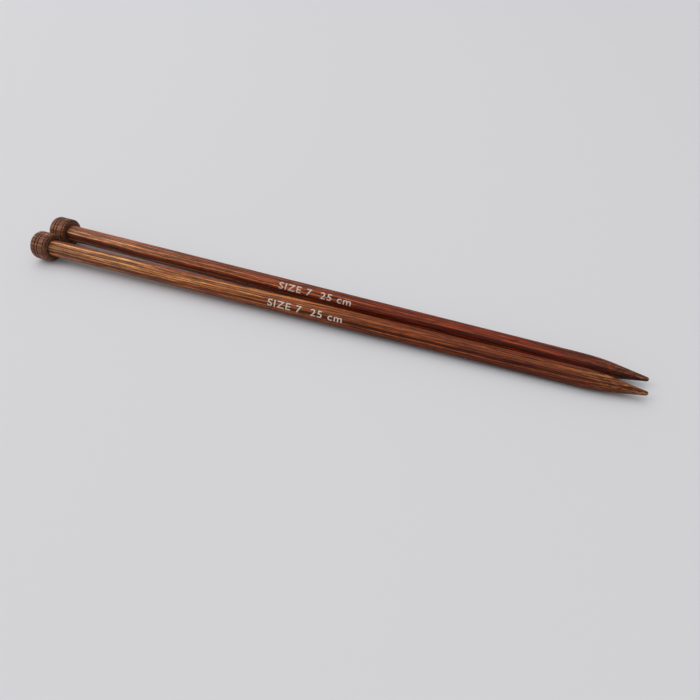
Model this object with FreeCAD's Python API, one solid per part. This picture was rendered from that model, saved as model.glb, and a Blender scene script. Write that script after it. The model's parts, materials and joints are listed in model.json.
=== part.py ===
import FreeCAD, Part
import math
import os

# A pair of straight single-pointed knitting needles lying side by side, in millimetres, +Z up.
# X runs along the pair from the caps to the points. The near needle lies at -Y, the far one at +Y.
# The origin is on the surface the needles lie on, under the middle of the pair.

# Driving dimensions, common to both needles
NEEDLE_LENGTH = 254.0      # over all, from the crown of the cap to the point
SHAFT_RADIUS = 3.5         # a 7.0 mm gauge needle
POINT_LENGTH = 23.5        # from the end of the full-diameter shaft to the point
POINT_HALF_ANGLE = 9.4     # degrees, of the cone behind the point
POINT_NOSE_RADIUS = 0.8    # the blunt rounded end

CAP_RADIUS = 6.0
CAP_LENGTH = 8.6
CAP_CROWN_HEIGHT = 0.45    # how far the outer end bulges
CAP_END_ROUNDING = 1.7     # radius between the crown and the side
CAP_FACE_RADIUS = 4.7      # of the flat face round the shaft, inside the rounded front rim
GROOVE_CENTRES = (3.4, 4.8, 7.5)  # along the needle from the crown
GROOVE_WIDTH = 0.5
GROOVE_DEPTH = 0.35

TENON_RADIUS = 2.5         # the shaft's reduced end, glued into the cap's blind bore
TENON_LENGTH = 5.5

# How the two needles lie
CAP_GAP = 0.3              # between the two caps
SHAFT_GAP = 0.6            # between the two shafts, where they come closest


def profile_point(x, r):
    """A point of a turned profile: x along the needle from the cap's crown, r out from its axis."""
    return FreeCAD.Vector(x, 0, r)


def line(start, end):
    return Part.LineSegment(profile_point(*start), profile_point(*end))


def arc(centre, radius, start_angle, end_angle):
    """A circular arc of a profile, with its angles in degrees from the direction of the needle's point."""
    points = []
    for degrees in (start_angle, (start_angle + end_angle) / 2, end_angle):
        angle = math.radians(degrees)
        x = centre[0] + radius * math.cos(angle)
        r = centre[1] + radius * math.sin(angle)
        points.append(profile_point(x, r))
    return Part.Arc(*points)


def turned(curves):
    """The solid that a closed half profile makes when it is turned about the needle's axis."""
    wire = Part.Wire([curve.toShape() for curve in curves])
    axis_start = FreeCAD.Vector(0, 0, 0)
    axis_direction = FreeCAD.Vector(1, 0, 0)
    return Part.Face(wire).revolve(axis_start, axis_direction, 360)


def make_shaft():
    """The tenon, the full-diameter shaft, the shoulder arc, the cone and the rounded point, in one piece."""
    slope = math.radians(POINT_HALF_ANGLE)
    tenon_end = CAP_LENGTH - TENON_LENGTH
    cylinder_end = NEEDLE_LENGTH - POINT_LENGTH
    nose_centre = NEEDLE_LENGTH - POINT_NOSE_RADIUS
    cone_end = (
        nose_centre + POINT_NOSE_RADIUS * math.sin(slope),
        POINT_NOSE_RADIUS * math.cos(slope),
    )
    # The shoulder arc leaves the cylinder tangentially and runs tangentially into the cone.
    cone_radius_at_shoulder = cone_end[1] + (cone_end[0] - cylinder_end) * math.tan(slope)
    shoulder_radius = (cone_radius_at_shoulder - SHAFT_RADIUS) / (1 / math.cos(slope) - 1)
    cone_start = (
        cylinder_end + shoulder_radius * math.sin(slope),
        SHAFT_RADIUS - shoulder_radius * (1 - math.cos(slope)),
    )
    return turned([
        line((tenon_end, 0), (tenon_end, TENON_RADIUS)),
        line((tenon_end, TENON_RADIUS), (CAP_LENGTH, TENON_RADIUS)),
        line((CAP_LENGTH, TENON_RADIUS), (CAP_LENGTH, SHAFT_RADIUS)),
        line((CAP_LENGTH, SHAFT_RADIUS), (cylinder_end, SHAFT_RADIUS)),
        arc((cylinder_end, SHAFT_RADIUS - shoulder_radius), shoulder_radius, 90, 90 - POINT_HALF_ANGLE),
        line(cone_start, cone_end),
        arc((nose_centre, 0), POINT_NOSE_RADIUS, 90 - POINT_HALF_ANGLE, 0),
        line((NEEDLE_LENGTH, 0), (tenon_end, 0)),
    ])


def make_cap():
    """The turned knob: crowned end, grooved side, rounded front rim, and a blind bore for the tenon."""
    crown_edge = CAP_RADIUS - CAP_END_ROUNDING
    crown_radius = (crown_edge ** 2 + CAP_CROWN_HEIGHT ** 2) / (2 * CAP_CROWN_HEIGHT)
    crown_angle = math.degrees(math.asin(crown_edge / crown_radius))
    curves = [
        arc((crown_radius, 0), crown_radius, 180, 180 - crown_angle),
        arc((CAP_CROWN_HEIGHT + CAP_END_ROUNDING, crown_edge), CAP_END_ROUNDING, 180, 90),
    ]
    side = CAP_CROWN_HEIGHT + CAP_END_ROUNDING
    for centre in GROOVE_CENTRES:
        groove_start = (centre - GROOVE_WIDTH / 2, CAP_RADIUS)
        groove_bottom = (centre, CAP_RADIUS - GROOVE_DEPTH)
        groove_end = (centre + GROOVE_WIDTH / 2, CAP_RADIUS)
        curves.append(line((side, CAP_RADIUS), groove_start))
        curves.append(line(groove_start, groove_bottom))
        curves.append(line(groove_bottom, groove_end))
        side = groove_end[0]
    # The front rim curves from the last groove's edge down to the flat face round the shaft.
    rim_middle = profile_point(
        side + (CAP_LENGTH - side) * math.sin(math.radians(45)),
        CAP_FACE_RADIUS + (CAP_RADIUS - CAP_FACE_RADIUS) * math.cos(math.radians(45)),
    )
    rim_start = profile_point(side, CAP_RADIUS)
    rim_end = profile_point(CAP_LENGTH, CAP_FACE_RADIUS)
    bore_end = CAP_LENGTH - TENON_LENGTH
    curves += [
        Part.Arc(rim_start, rim_middle, rim_end),
        line((CAP_LENGTH, CAP_FACE_RADIUS), (CAP_LENGTH, TENON_RADIUS)),
        line((CAP_LENGTH, TENON_RADIUS), (bore_end, TENON_RADIUS)),
        line((bore_end, TENON_RADIUS), (bore_end, 0)),
        line((bore_end, 0), (0, 0)),
    ]
    return turned(curves)


def lay_down(shape, side):
    """Lay a needle on the surface: side is -1 for the near needle and 1 for the far one.

    A needle rests on the edge of its last groove and on the end of its full-diameter shaft, so it slopes
    down from the cap to the point. The two shafts run together towards the points because the caps,
    which lie beside each other, hold them apart.
    """
    cap_contact = GROOVE_CENTRES[-1] + GROOVE_WIDTH / 2
    shaft_contact = NEEDLE_LENGTH - POINT_LENGTH
    span = shaft_contact - cap_contact
    pitch = math.atan((CAP_RADIUS - SHAFT_RADIUS) / span)
    spread_at_cap = CAP_RADIUS + CAP_GAP / 2
    spread_at_shoulder = SHAFT_RADIUS + SHAFT_GAP / 2
    yaw = math.atan((spread_at_cap - spread_at_shoulder) / span)

    up = FreeCAD.Vector(0, 0, 1)
    across = FreeCAD.Vector(0, 1, 0)
    rotation = FreeCAD.Rotation(up, -side * math.degrees(yaw)).multiply(
        FreeCAD.Rotation(across, math.degrees(pitch))
    )
    to_contact = rotation.multVec(FreeCAD.Vector(cap_contact, 0, 0))
    plan_length = NEEDLE_LENGTH * math.cos(pitch) * math.cos(yaw)
    crown = FreeCAD.Vector(
        -plan_length / 2,
        side * spread_at_cap - to_contact.y,
        CAP_RADIUS * math.cos(pitch) - to_contact.z,
    )
    placed = shape.copy()
    placed.Placement = FreeCAD.Placement(crown, rotation)
    return placed


os.makedirs("parts", exist_ok=True)
shaft = make_shaft()
cap = make_cap()
for needle, side in (("near", -1), ("far", 1)):
    lay_down(shaft, side).exportStep(f"parts/{needle}_shaft.step")
    lay_down(cap, side).exportStep(f"parts/{needle}_cap.step")
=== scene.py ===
import json
import math

import bmesh
import bpy
from mathutils import Matrix, Vector


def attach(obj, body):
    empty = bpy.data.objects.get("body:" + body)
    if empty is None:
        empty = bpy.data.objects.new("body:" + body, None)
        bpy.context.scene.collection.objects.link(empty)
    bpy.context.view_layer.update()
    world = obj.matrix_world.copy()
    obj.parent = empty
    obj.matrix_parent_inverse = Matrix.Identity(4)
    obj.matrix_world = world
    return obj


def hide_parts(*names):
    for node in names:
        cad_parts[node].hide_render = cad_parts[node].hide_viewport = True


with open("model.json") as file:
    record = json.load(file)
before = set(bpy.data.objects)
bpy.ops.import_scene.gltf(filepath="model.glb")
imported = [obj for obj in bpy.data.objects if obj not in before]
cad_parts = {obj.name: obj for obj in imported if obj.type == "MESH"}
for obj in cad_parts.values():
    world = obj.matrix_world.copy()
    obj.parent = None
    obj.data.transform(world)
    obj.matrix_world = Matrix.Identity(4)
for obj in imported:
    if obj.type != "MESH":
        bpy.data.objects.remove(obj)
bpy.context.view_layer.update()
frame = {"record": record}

MM = 0.001

# Sizes of one needle, in millimetres, as the CAD model has them. x runs along the needle from its crown.
NEEDLE_LENGTH = 254.0
SHAFT_RADIUS = 3.5
POINT_LENGTH = 23.5
POINT_HALF_ANGLE = math.radians(9.4)
NOSE_RADIUS = 0.8
CAP_RADIUS = 6.0
CAP_LENGTH = 8.6
CROWN_HEIGHT = 0.45
END_ROUNDING = 1.7
FACE_RADIUS = 4.7
GROOVE_CENTRES = (3.4, 4.8, 7.5)
GROOVE_WIDTH = 0.5
GROOVE_DEPTH = 0.35
TENON_RADIUS = 2.5
TENON_LENGTH = 5.5

# Finer than the CAD model
GROOVE_LIP = 0.08         # how far the worn, rounded edge of a groove reaches to each side
SEGMENTS = 96             # round each turned piece
CREASE_ANGLE = math.radians(50)
FLOOR_GAP = 0.02          # the floor is this far under the needles, so that the two don't flicker


# ---------------------------------------------------------------- turned meshes

def arc_points(centre, radius, start_degrees, end_degrees, steps):
    """Points of a profile arc, (x, r) in millimetres."""
    points = []
    for i in range(steps + 1):
        angle = math.radians(start_degrees + (end_degrees - start_degrees) * i / steps)
        points.append((centre[0] + radius * math.cos(angle), centre[1] + radius * math.sin(angle)))
    return points


def spaced(start, end, steps):
    """Points from start up to but not including end."""
    return [
        (start[0] + (end[0] - start[0]) * i / steps, start[1] + (end[1] - start[1]) * i / steps)
        for i in range(steps)
    ]


def shaft_profile():
    """Tenon, full-diameter shaft, shoulder arc, cone and rounded nose."""
    tenon_end = CAP_LENGTH - TENON_LENGTH
    cylinder_end = NEEDLE_LENGTH - POINT_LENGTH
    nose_centre = NEEDLE_LENGTH - NOSE_RADIUS
    cone_end = (
        nose_centre + NOSE_RADIUS * math.sin(POINT_HALF_ANGLE),
        NOSE_RADIUS * math.cos(POINT_HALF_ANGLE),
    )
    cone_radius_at_shoulder = cone_end[1] + (cone_end[0] - cylinder_end) * math.tan(POINT_HALF_ANGLE)
    shoulder_radius = (cone_radius_at_shoulder - SHAFT_RADIUS) / (1 / math.cos(POINT_HALF_ANGLE) - 1)
    half_angle_degrees = math.degrees(POINT_HALF_ANGLE)
    profile = [(tenon_end, 0.0), (tenon_end, TENON_RADIUS), (CAP_LENGTH, TENON_RADIUS)]
    profile += spaced((CAP_LENGTH, SHAFT_RADIUS), (cylinder_end, SHAFT_RADIUS), 60)
    shoulder_centre = (cylinder_end, SHAFT_RADIUS - shoulder_radius)
    profile += arc_points(shoulder_centre, shoulder_radius, 90, 90 - half_angle_degrees, 24)
    shoulder_end = profile.pop()
    profile += spaced(shoulder_end, cone_end, 10)
    profile += arc_points((nose_centre, 0.0), NOSE_RADIUS, 90 - half_angle_degrees, 0, 10)
    return profile


def cap_profile():
    """Crown, rounded end, grooved side, front rim, shaft-side face and the bore that holds the tenon."""
    crown_edge = CAP_RADIUS - END_ROUNDING
    crown_radius = (crown_edge ** 2 + CROWN_HEIGHT ** 2) / (2 * CROWN_HEIGHT)
    crown_degrees = math.degrees(math.asin(crown_edge / crown_radius))
    profile = arc_points((crown_radius, 0.0), crown_radius, 180, 180 - crown_degrees, 10)[:-1]
    side_start = CROWN_HEIGHT + END_ROUNDING
    profile += arc_points((side_start, crown_edge), END_ROUNDING, 180, 90, 12)
    half = GROOVE_WIDTH / 2
    # Half a groove's section, from its middle out: (distance from the middle, depth)
    section = [(0.06, GROOVE_DEPTH - 0.03), (half - GROOVE_LIP, 0.12), (half, 0.03)]
    for centre in GROOVE_CENTRES:
        profile.append((centre - half - GROOVE_LIP, CAP_RADIUS))
        profile += [(centre - offset, CAP_RADIUS - depth) for offset, depth in reversed(section)]
        profile.append((centre, CAP_RADIUS - GROOVE_DEPTH))
        profile += [(centre + offset, CAP_RADIUS - depth) for offset, depth in section]
        if centre != GROOVE_CENTRES[-1]:
            profile.append((centre + half + GROOVE_LIP, CAP_RADIUS))
    rim_start = GROOVE_CENTRES[-1] + half
    rim_steps = 12
    for i in range(1, rim_steps + 1):
        angle = math.radians(90 * i / rim_steps)
        profile.append((
            rim_start + (CAP_LENGTH - rim_start) * math.sin(angle),
            FACE_RADIUS + (CAP_RADIUS - FACE_RADIUS) * math.cos(angle),
        ))
    bore_end = CAP_LENGTH - TENON_LENGTH
    profile += [
        (CAP_LENGTH, SHAFT_RADIUS),
        (CAP_LENGTH, TENON_RADIUS),
        (bore_end, TENON_RADIUS),
        (bore_end, 0.0),
    ]
    return profile


def turned_mesh(name, profile, matrix):
    """A closed mesh made by turning a profile about the needle's axis, with its own origin at the crown."""
    mesh = bmesh.new()
    rings = []
    for x, r in profile:
        if r < 1e-6:
            rings.append([mesh.verts.new((x * MM, 0, 0))])
            continue
        ring = []
        for i in range(SEGMENTS):
            angle = 2 * math.pi * i / SEGMENTS
            ring.append(mesh.verts.new((x * MM, r * MM * math.cos(angle), r * MM * math.sin(angle))))
        rings.append(ring)
    for first, second in zip(rings, rings[1:]):
        for i in range(SEGMENTS):
            j = (i + 1) % SEGMENTS
            if len(first) == 1:
                corners = [first[0], second[j], second[i]]
            elif len(second) == 1:
                corners = [first[i], first[j], second[0]]
            else:
                corners = [first[i], first[j], second[j], second[i]]
            mesh.faces.new(corners)
    bmesh.ops.recalc_face_normals(mesh, faces=mesh.faces)
    for face in mesh.faces:
        face.smooth = True
    for edge in mesh.edges:
        if len(edge.link_faces) == 2 and edge.calc_face_angle() > CREASE_ANGLE:
            edge.smooth = False
    return placed_piece(name, mesh, matrix)


def placed_piece(name, mesh, matrix):
    """Makes a piece of a mesh in the needle's own frame. The vertices move to the row frame, and their places
    in the needle's frame, in millimetres, stay with them for the materials."""
    data = bpy.data.meshes.new(name)
    mesh.to_mesh(data)
    mesh.free()
    place = data.attributes.new("place_on_needle", "FLOAT_VECTOR", "POINT")
    for vertex, spot in zip(data.vertices, place.data):
        spot.vector = vertex.co / MM
    data.transform(matrix)
    piece = bpy.data.objects.new(name, data)
    bpy.context.scene.collection.objects.link(piece)
    return piece


# ---------------------------------------------------------------- printed size mark

MARK_TEXT = "SIZE 7  25 cm"
MARK_START = 112.6        # from the crown
MARK_LENGTH = 31.0
MARK_HEIGHT = 2.75
MARK_BOLDNESS = 0.008     # thickens the strokes. A capital M would cross itself, so the text has none
MARK_CUTS = 12            # strips that the letters are cut into, so that they can follow the round shaft
INK_RADIUS = SHAFT_RADIUS + 0.02
INK_THICKNESS = 0.05      # most of it is sunk in the shaft


def size_mark(name, elevation, matrix):
    """Closed letters bent round the shaft. elevation is the angle of their middle above the near
    horizontal. Until they are bent, z is 0 on their underside and 1 on top."""
    curve = bpy.data.curves.new(name + "_text", "FONT")
    curve.body = MARK_TEXT
    curve.resolution_u = 6
    curve.offset = MARK_BOLDNESS
    curve.extrude = 0.5
    curve.space_character = 1.12
    source = bpy.data.objects.new(name + "_text", curve)
    bpy.context.scene.collection.objects.link(source)
    bpy.context.view_layer.update()
    graph = bpy.context.evaluated_depsgraph_get()
    data = bpy.data.meshes.new_from_object(source.evaluated_get(graph))
    bpy.data.objects.remove(source)

    mesh = bmesh.new()
    mesh.from_mesh(data)
    bmesh.ops.remove_doubles(mesh, verts=mesh.verts, dist=1e-5)
    low_x = min(v.co.x for v in mesh.verts)
    high_x = max(v.co.x for v in mesh.verts)
    low_y = min(v.co.y for v in mesh.verts)
    high_y = max(v.co.y for v in mesh.verts)
    for vert in mesh.verts:
        vert.co.x = MARK_START + (vert.co.x - low_x) / (high_x - low_x) * MARK_LENGTH
        vert.co.y = ((vert.co.y - low_y) / (high_y - low_y) - 0.5) * MARK_HEIGHT
        vert.co.z = 1.0 if vert.co.z > 0.0 else 0.0
    for i in range(1, MARK_CUTS):
        geometry = mesh.verts[:] + mesh.edges[:] + mesh.faces[:]
        height = (i - MARK_CUTS / 2) * MARK_HEIGHT / MARK_CUTS
        bmesh.ops.bisect_plane(mesh, geom=geometry, plane_co=(0, height, 0), plane_no=(0, 1, 0))
    bmesh.ops.triangulate(mesh, faces=mesh.faces)
    for vert in mesh.verts:
        radius = INK_RADIUS - INK_THICKNESS * (1.0 - vert.co.z)
        angle = elevation + vert.co.y / SHAFT_RADIUS
        vert.co = Vector((vert.co.x, -radius * math.cos(angle), radius * math.sin(angle))) * MM
    bmesh.ops.recalc_face_normals(mesh, faces=mesh.faces)
    for face in mesh.faces:
        face.smooth = False
    bpy.data.meshes.remove(data)
    return placed_piece(name, mesh, matrix)


# ---------------------------------------------------------------- materials

class Nodes:
    """Short calls for building one material's nodes."""

    def __init__(self, name):
        self.material = bpy.data.materials.new(name)
        self.material.use_nodes = True
        self.tree = self.material.node_tree
        self.shader = self.tree.nodes["Principled BSDF"]

    def add(self, kind, **settings):
        node = self.tree.nodes.new(kind)
        for key, value in settings.items():
            setattr(node, key, value)
        return node

    def feed(self, socket, value):
        if isinstance(value, bpy.types.NodeSocket):
            self.tree.links.new(value, socket)
        elif isinstance(value, tuple) and len(value) == 3 and len(socket.default_value) == 4:
            socket.default_value = (*value, 1.0)
        else:
            socket.default_value = value

    def place(self):
        """Where the point is on its needle, in millimetres: x from the crown, y to the far side, z up."""
        return self.add("ShaderNodeAttribute", attribute_name="place_on_needle").outputs["Vector"]

    def math(self, operation, first, second=0.0):
        node = self.add("ShaderNodeMath", operation=operation)
        self.feed(node.inputs[0], first)
        self.feed(node.inputs[1], second)
        return node.outputs[0]

    def scaled(self, vector, scale):
        node = self.add("ShaderNodeVectorMath", operation="MULTIPLY")
        self.feed(node.inputs[0], vector)
        node.inputs[1].default_value = scale
        return node.outputs[0]

    def noise(self, vector, stretch, detail=2.0, roughness=0.5):
        """Noise whose features are 1/stretch millimetres long in each direction."""
        node = self.add("ShaderNodeTexNoise")
        self.feed(node.inputs["Vector"], self.scaled(vector, stretch))
        node.inputs["Scale"].default_value = 1.0
        node.inputs["Detail"].default_value = detail
        node.inputs["Roughness"].default_value = roughness
        return node.outputs["Fac"]

    def remap(self, value, low, high, to_low=0.0, to_high=1.0):
        node = self.add("ShaderNodeMapRange")
        for key, item in (
            ("Value", value), ("From Min", low), ("From Max", high), ("To Min", to_low), ("To Max", to_high),
        ):
            self.feed(node.inputs[key], item)
        return node.outputs["Result"]

    def ramp(self, value, stops, interpolation="LINEAR"):
        node = self.add("ShaderNodeValToRGB")
        node.color_ramp.interpolation = interpolation
        self.feed(node.inputs["Fac"], value)
        elements = node.color_ramp.elements
        while len(elements) < len(stops):
            elements.new(1.0)
        while len(elements) > len(stops):
            elements.remove(elements[-1])
        for element, (position, colour) in zip(elements, stops):
            element.position = position
            element.color = (*colour, 1.0)
        return node.outputs["Color"]

    def grey_ramp(self, value, stops):
        return self.ramp(value, [(position, (shade, shade, shade)) for position, shade in stops])

    def mix(self, blend, factor, first, second):
        node = self.add("ShaderNodeMix", data_type="RGBA", blend_type=blend)
        self.feed(node.inputs[0], factor)
        self.feed(node.inputs[6], first)
        self.feed(node.inputs[7], second)
        return node.outputs[2]

    def bump(self, height, strength, distance_mm):
        node = self.add("ShaderNodeBump")
        node.inputs["Strength"].default_value = strength
        node.inputs["Distance"].default_value = distance_mm * MM
        self.feed(node.inputs["Height"], height)
        self.feed(self.shader.inputs["Normal"], node.outputs["Normal"])


# Colours of the dyed birch veneers
VENEERS = {
    "gold": (0.300, 0.126, 0.042),
    "tan": (0.250, 0.095, 0.036),
    "brown": (0.170, 0.056, 0.021),
    "red": (0.165, 0.038, 0.014),
    "maroon": (0.090, 0.022, 0.010),
    "dark": (0.048, 0.013, 0.006),
}
WHITE = (1.0, 1.0, 1.0)


def laminated_wood(name, stack, pitch, stack_angle, seed, tones_and_sheen, drift=0.0, is_cap=False):
    """Lacquered laminate of dyed veneers.

    stack names the veneers from one side of the blank to the other, and pitch is their spacing in
    millimetres. stack_angle is the direction they are stacked in, above the near horizontal. tones_and_sheen
    are (fraction of the needle's length, tint) stops: partly the dye, which is not the same all along, and
    partly painted sheen, which makes the crown end lighter and greyer. drift is how far the veneers climb
    between crown and point, because the blank isn't cut quite along them."""
    n = Nodes(name)
    place = n.place()
    turn = n.add("ShaderNodeMapping")
    n.feed(turn.inputs["Vector"], place)
    turn.inputs["Rotation"].default_value = (stack_angle - math.radians(90), 0.0, 0.0)
    turn.inputs["Location"].default_value = (seed * 400.0, 0.0, 0.0)
    grain = turn.outputs["Vector"]
    parts = n.add("ShaderNodeSeparateXYZ")
    n.feed(parts.inputs[0], grain)
    local = n.add("ShaderNodeSeparateXYZ")
    n.feed(local.inputs[0], place)
    along = n.math("DIVIDE", local.outputs["X"], NEEDLE_LENGTH)

    # The veneers wander by a fraction of their thickness along the needle.
    slow = n.remap(n.noise(grain, (0.012, 0.09, 0.09), 1.0), 0.3, 0.7, -0.5, 0.5)
    quick = n.remap(n.noise(grain, (0.035, 0.5, 0.5), 2.0, 0.6), 0.3, 0.7, -0.22, 0.22)
    ragged = n.remap(n.noise(grain, (0.14, 3.0, 3.0), 3.0, 0.7), 0.3, 0.7, -0.12, 0.12)
    climb = n.math("MULTIPLY", n.math("SUBTRACT", along, 0.5), drift)
    straight = n.math("SUBTRACT", parts.outputs["Z"], climb)
    height = n.math("ADD", straight, n.math("ADD", slow, n.math("ADD", quick, ragged)))
    total = pitch * len(stack)
    fraction = n.math("DIVIDE", n.math("ADD", height, total / 2), total)
    stops = [(i / len(stack), VENEERS[veneer]) for i, veneer in enumerate(stack)]
    colour = n.ramp(fraction, stops, "CONSTANT")

    # Thin darker glue lines between the veneers
    cycle = n.math("FRACT", n.math("DIVIDE", n.math("ADD", height, total / 2), pitch))
    to_line = n.math("MINIMUM", cycle, n.math("SUBTRACT", 1.0, cycle))
    glue = n.remap(to_line, 0.08, 0.21, 1.0, 0.0)
    glue_strength = 0.35 if is_cap else 0.9
    colour = n.mix("MULTIPLY", n.math("MULTIPLY", glue, glue_strength), colour, (0.26, 0.13, 0.09))

    # Long faint streaks of fibre, finer fibres, and short dark pores
    streak = n.noise(grain, (0.016, 1.5, 1.5), 4.0, 0.7)
    streak_shade = n.ramp(streak, [(0.34, (0.42, 0.30, 0.27)), (0.5, WHITE), (0.66, (1.80, 1.90, 1.90))])
    colour = n.mix("MULTIPLY", 1.0, colour, streak_shade)
    fibre = n.noise(grain, (0.085, 2.4, 2.4), 4.0, 0.78)
    colour = n.mix("MULTIPLY", 1.0, colour, n.grey_ramp(fibre, [(0.34, 0.38), (0.5, 1.0), (0.66, 1.85)]))
    hue = n.noise(grain, (0.10, 0.9, 0.9), 2.0, 0.6)
    hue_shift = n.ramp(hue, [(0.38, (1.06, 0.88, 0.84)), (0.5, WHITE), (0.62, (0.96, 1.08, 1.10))])
    colour = n.mix("MULTIPLY", 1.0, colour, hue_shift)
    fine = n.noise(grain, (0.6, 8.0, 8.0), 3.0, 0.7)
    colour = n.mix("MULTIPLY", 1.0, colour, n.grey_ramp(fine, [(0.30, 0.75), (0.5, 1.0), (0.70, 1.25)]))
    pores = n.remap(n.noise(grain, (0.22, 3.0, 3.0), 1.0), 0.63, 0.71)
    colour = n.mix("MIX", n.math("MULTIPLY", pores, 0.65), colour, (0.030, 0.010, 0.006))

    # Tint along the needle: partly the dye, partly painted sheen that lightens and greys the crown end
    colour = n.mix("MULTIPLY", 1.0, colour, n.ramp(along, tones_and_sheen))
    # The caps get painted shade and painted highlights over the wood
    if is_cap:
        colour = cap_painted_light(n, colour, local)
    n.feed(n.shader.inputs["Base Color"], colour)

    satin = n.remap(streak, 0.3, 0.7, 0.42, 0.54)
    n.feed(n.shader.inputs["Roughness"], n.math("ADD", satin, n.math("MULTIPLY", pores, 0.15)))
    n.shader.inputs["Specular IOR Level"].default_value = 0.16
    n.shader.inputs["Coat Weight"].default_value = 0.03
    n.shader.inputs["Coat Roughness"].default_value = 0.25
    relief = n.math("SUBTRACT", n.math("ADD", fibre, fine), n.math("MULTIPLY", pores, 1.2))
    n.bump(n.math("SUBTRACT", relief, n.math("MULTIPLY", glue, 0.25)), 0.35, 0.04)
    return n.material


def cap_painted_light(n, colour, local):
    """Painted shade in the grooves, painted highlights on the lips beside them, painted shade on the face
    round the shaft, and a painted highlight on the ring round that face.
    """
    x = local.outputs["X"]
    y = local.outputs["Y"]
    z = local.outputs["Z"]
    radius = n.math("SQRT", n.math("ADD", n.math("MULTIPLY", y, y), n.math("MULTIPLY", z, z)))
    patchy = n.noise(n.place(), (0.8, 0.8, 0.8), 3.0, 0.6)
    for centre in GROOVE_CENTRES:
        offset = n.math("ABSOLUTE", n.math("SUBTRACT", x, centre))
        # Painted highlight: pale lips on each side of a groove, where light catches their edges
        lip_highlight_mask = n.remap(n.math("ABSOLUTE", n.math("SUBTRACT", offset, 0.40)), 0.02, 0.16, 1.0, 0.0)
        painted_lip_highlight = n.math("MULTIPLY", lip_highlight_mask, n.remap(patchy, 0.35, 0.6, 0.1, 0.55))
        colour = n.mix("MIX", painted_lip_highlight, colour, (0.34, 0.17, 0.09))
        # Painted shade: the grooves darkened nearly to black, most in their middle
        colour = n.mix("MIX", n.remap(offset, 0.14, 0.32, 0.92, 0.0), colour, (0.035, 0.010, 0.006))
    # Painted shade: the shaft-side face of the cap, which is turned away from the light, darkened and greyed
    face = n.remap(x, CAP_LENGTH - 0.20, CAP_LENGTH - 0.02)
    colour = n.mix("MULTIPLY", n.math("MULTIPLY", face, 0.85), colour, (0.42, 0.40, 0.40))
    # Painted highlight: a pale ring on the face where it meets the rounded rim
    rim = n.remap(n.math("ABSOLUTE", n.math("SUBTRACT", radius, FACE_RADIUS)), 0.05, 0.30, 1.0, 0.0)
    painted_rim_highlight = n.math("MULTIPLY", n.math("MULTIPLY", rim, face), n.remap(patchy, 0.3, 0.6, 0.2, 0.7))
    return n.mix("MIX", painted_rim_highlight, colour, (0.20, 0.14, 0.09))


def printed_ink():
    """Off-white pad-printed ink, slightly patchy as if over open pores."""
    n = Nodes("printed_ink")
    patches = n.noise(n.place(), (1.6, 6.0, 6.0), 4.0, 0.7)
    stops = [(0.30, (0.38, 0.30, 0.24)), (0.46, (0.54, 0.48, 0.41)), (0.65, (0.65, 0.60, 0.53))]
    n.feed(n.shader.inputs["Base Color"], n.ramp(patches, stops))
    n.feed(n.shader.inputs["Roughness"], n.remap(patches, 0.3, 0.7, 0.62, 0.45))
    n.bump(patches, 0.3, 0.02)
    return n.material


NEAR_STACK = (
    "dark", "brown", "red", "brown", "tan", "maroon", "tan", "tan", "gold", "brown", "gold", "red",
)
# The dark and maroon veneers at the start of the far stack lie along its lower side, next to the near needle,
# and are partly painted shade there
FAR_STACK_AND_SHADE = (
    "dark", "maroon", "brown", "maroon", "maroon", "tan", "brown", "tan", "brown", "brown", "red", "brown",
)
CAP_STACK = (
    "brown", "red", "brown", "tan", "brown", "tan", "red", "brown", "tan", "brown", "tan", "brown",
    "red", "tan", "brown", "tan", "brown", "red", "tan", "brown", "tan", "red", "brown", "tan",
)
PITCH = 0.7
CAP_PITCH = 0.52
# Tints along each shaft, from the crown to the point: orange tan, then red brown, then greyer. The lighter,
# greyer tints at the crown end are partly the dye and partly painted sheen from the light on the caps' side.
NEAR_TONES_AND_SHEEN = (
    (0.00, (1.45, 1.62, 1.70)), (0.11, (1.45, 1.62, 1.70)), (0.29, (1.41, 1.38, 1.12)),
    (0.60, (0.88, 0.52, 0.21)), (0.82, (0.66, 0.34, 0.16)), (0.92, (0.72, 0.50, 0.36)),
    (1.00, (1.20, 1.36, 1.22)),
)
FAR_TONES_AND_SHEEN = (
    (0.00, (1.75, 2.08, 2.45)), (0.11, (1.75, 2.08, 2.45)), (0.29, (1.60, 1.36, 1.22)),
    (0.60, (1.20, 0.55, 0.22)), (0.82, (0.86, 0.33, 0.13)), (0.92, (0.78, 0.42, 0.30)),
    (1.00, (0.60, 0.64, 0.85)),
)
# Tints of the caps. The far cap's grey lift is partly its wood's tone and partly painted sheen on its top.
NEAR_CAP_TONE = (1.00, 1.18, 1.50)
FAR_CAP_TONE_AND_SHEEN = (0.80, 0.90, 1.12)


# ---------------------------------------------------------------- the two needles

def needle_matrix(side):
    """The needle's own frame: origin at the crown of its cap, X along it to the point, Z up."""
    mount = next(m for m in frame["record"]["mounts"] if m["name"] == side + "_gauge_diameter")
    along = Vector(mount["axis"]).normalized()
    middle = Vector(mount["pos_m"])
    crown = middle - along * (CAP_LENGTH + NEEDLE_LENGTH - POINT_LENGTH) / 2 * MM
    across = Vector((0, 0, 1)).cross(along).normalized()
    up = along.cross(across)
    matrix = Matrix((along, across, up)).transposed().to_4x4()
    matrix.translation = crown
    return matrix


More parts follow.
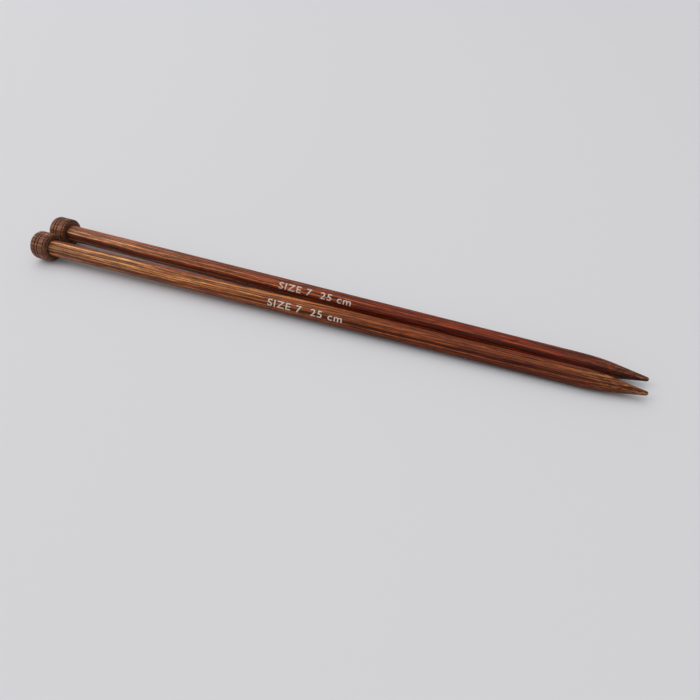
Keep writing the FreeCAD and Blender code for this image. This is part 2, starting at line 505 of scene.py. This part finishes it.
ink = printed_ink()
needles = {
    "near": {
        "shaft": laminated_wood(
            "near_shaft_wood", NEAR_STACK, PITCH, math.radians(118), 1.0, NEAR_TONES_AND_SHEEN, drift=2.0),
        "cap": laminated_wood(
            "near_cap_wood", CAP_STACK, CAP_PITCH, math.radians(60), 2.0, [(0.0, NEAR_CAP_TONE)],
            is_cap=True),
        "mark_elevation": math.radians(34.7),
    },
    "far": {
        "shaft": laminated_wood(
            "far_shaft_wood", FAR_STACK_AND_SHADE, PITCH, math.radians(140), 3.0, FAR_TONES_AND_SHEEN, drift=0.8),
        "cap": laminated_wood(
            "far_cap_wood", CAP_STACK, CAP_PITCH, math.radians(120), 4.0, [(0.0, FAR_CAP_TONE_AND_SHEEN)],
            is_cap=True),
        "mark_elevation": math.radians(48.0),
    },
}
for side, looks in needles.items():
    matrix = needle_matrix(side)
    body = side + "_needle"
    shaft = turned_mesh(side + "_turned_shaft", shaft_profile(), matrix)
    shaft.data.materials.append(looks["shaft"])
    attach(shaft, body)
    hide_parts(side + "_shaft")

    cap = turned_mesh(side + "_turned_cap", cap_profile(), matrix)
    cap.data.materials.append(looks["cap"])
    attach(cap, body)
    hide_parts(side + "_cap")

    mark = size_mark(side + "_size_mark", looks["mark_elevation"], matrix)
    mark.data.materials.append(ink)
    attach(mark, body)


# ---------------------------------------------------------------- floor, lights and camera

def pale_floor():
    mesh = bmesh.new()
    bmesh.ops.create_grid(mesh, x_segments=1, y_segments=1, size=4.0)
    data = bpy.data.meshes.new("floor")
    mesh.to_mesh(data)
    mesh.free()
    floor = bpy.data.objects.new("floor", data)
    floor.location.z = -FLOOR_GAP * MM
    bpy.context.scene.collection.objects.link(floor)
    n = Nodes("pale_floor")
    n.shader.inputs["Base Color"].default_value = (0.66, 0.66, 0.67, 1.0)
    n.shader.inputs["Roughness"].default_value = 0.9
    n.shader.inputs["Specular IOR Level"].default_value = 0.1
    data.materials.append(n.material)


def area_light(name, location, target, size, power):
    light = bpy.data.lights.new(name, "AREA")
    light.shape = "RECTANGLE"
    light.size, light.size_y = size
    light.energy = power
    lamp = bpy.data.objects.new(name, light)
    lamp.location = location
    lamp.rotation_euler = (Vector(target) - Vector(location)).to_track_quat("-Z", "Y").to_euler()
    bpy.context.scene.collection.objects.link(lamp)


def camera():
    """A wide lens close to the needles, looking down at them from the point side."""
    azimuth = math.radians(20.79)
    elevation = math.radians(43.54)
    roll = math.radians(-0.21)
    distance = 0.2339
    target = Vector((0.02291, -0.01562, 0.0))
    back = Vector((
        math.sin(azimuth) * math.cos(elevation),
        -math.cos(azimuth) * math.cos(elevation),
        math.sin(elevation),
    ))
    right = Vector((math.cos(azimuth), math.sin(azimuth), 0.0))
    up = back.cross(right)
    rolled_right = right * math.cos(roll) + up * math.sin(roll)
    rolled_up = up * math.cos(roll) - right * math.sin(roll)
    data = bpy.data.cameras.new("camera")
    data.sensor_width = 36.0
    data.lens = 32.16
    data.clip_start = 0.01
    data.clip_end = 20.0
    eye = bpy.data.objects.new("camera", data)
    matrix = Matrix((rolled_right, rolled_up, back)).transposed().to_4x4()
    matrix.translation = target + back * distance
    eye.matrix_world = matrix
    bpy.context.scene.collection.objects.link(eye)
    bpy.context.scene.camera = eye


def studio_world():
    """Even light from all round, somewhat stronger from above and from the side of the caps."""
    world = bpy.data.worlds.new("studio")
    world.use_nodes = True
    tree = world.node_tree
    direction = tree.nodes.new("ShaderNodeTexCoord")
    lean = tree.nodes.new("ShaderNodeVectorMath")
    lean.operation = "DOT_PRODUCT"
    lean.inputs[1].default_value = (-0.30, 0.0, 0.35)
    level = tree.nodes.new("ShaderNodeMath")
    level.operation = "ADD"
    level.inputs[1].default_value = 0.55
    strength = tree.nodes.new("ShaderNodeMath")
    strength.operation = "MULTIPLY"
    strength.inputs[1].default_value = 0.92
    background = tree.nodes["Background"]
    background.inputs["Color"].default_value = (0.86, 0.86, 0.88, 1.0)
    tree.links.new(direction.outputs["Generated"], lean.inputs[0])
    tree.links.new(lean.outputs["Value"], level.inputs[0])
    tree.links.new(level.outputs[0], strength.inputs[0])
    tree.links.new(strength.outputs[0], background.inputs["Strength"])
    bpy.context.scene.world = world


pale_floor()
area_light("softbox", (-0.75, 0.20, 2.4), (0.0, 0.0, 0.0), (3.4, 2.8), 28.0)
area_light("side_softbox", (-1.5, -0.6, 1.3), (-0.1, 0.0, 0.0), (1.0, 1.0), 6.0)
studio_world()
bpy.context.scene.view_settings.view_transform = "Standard"
camera()
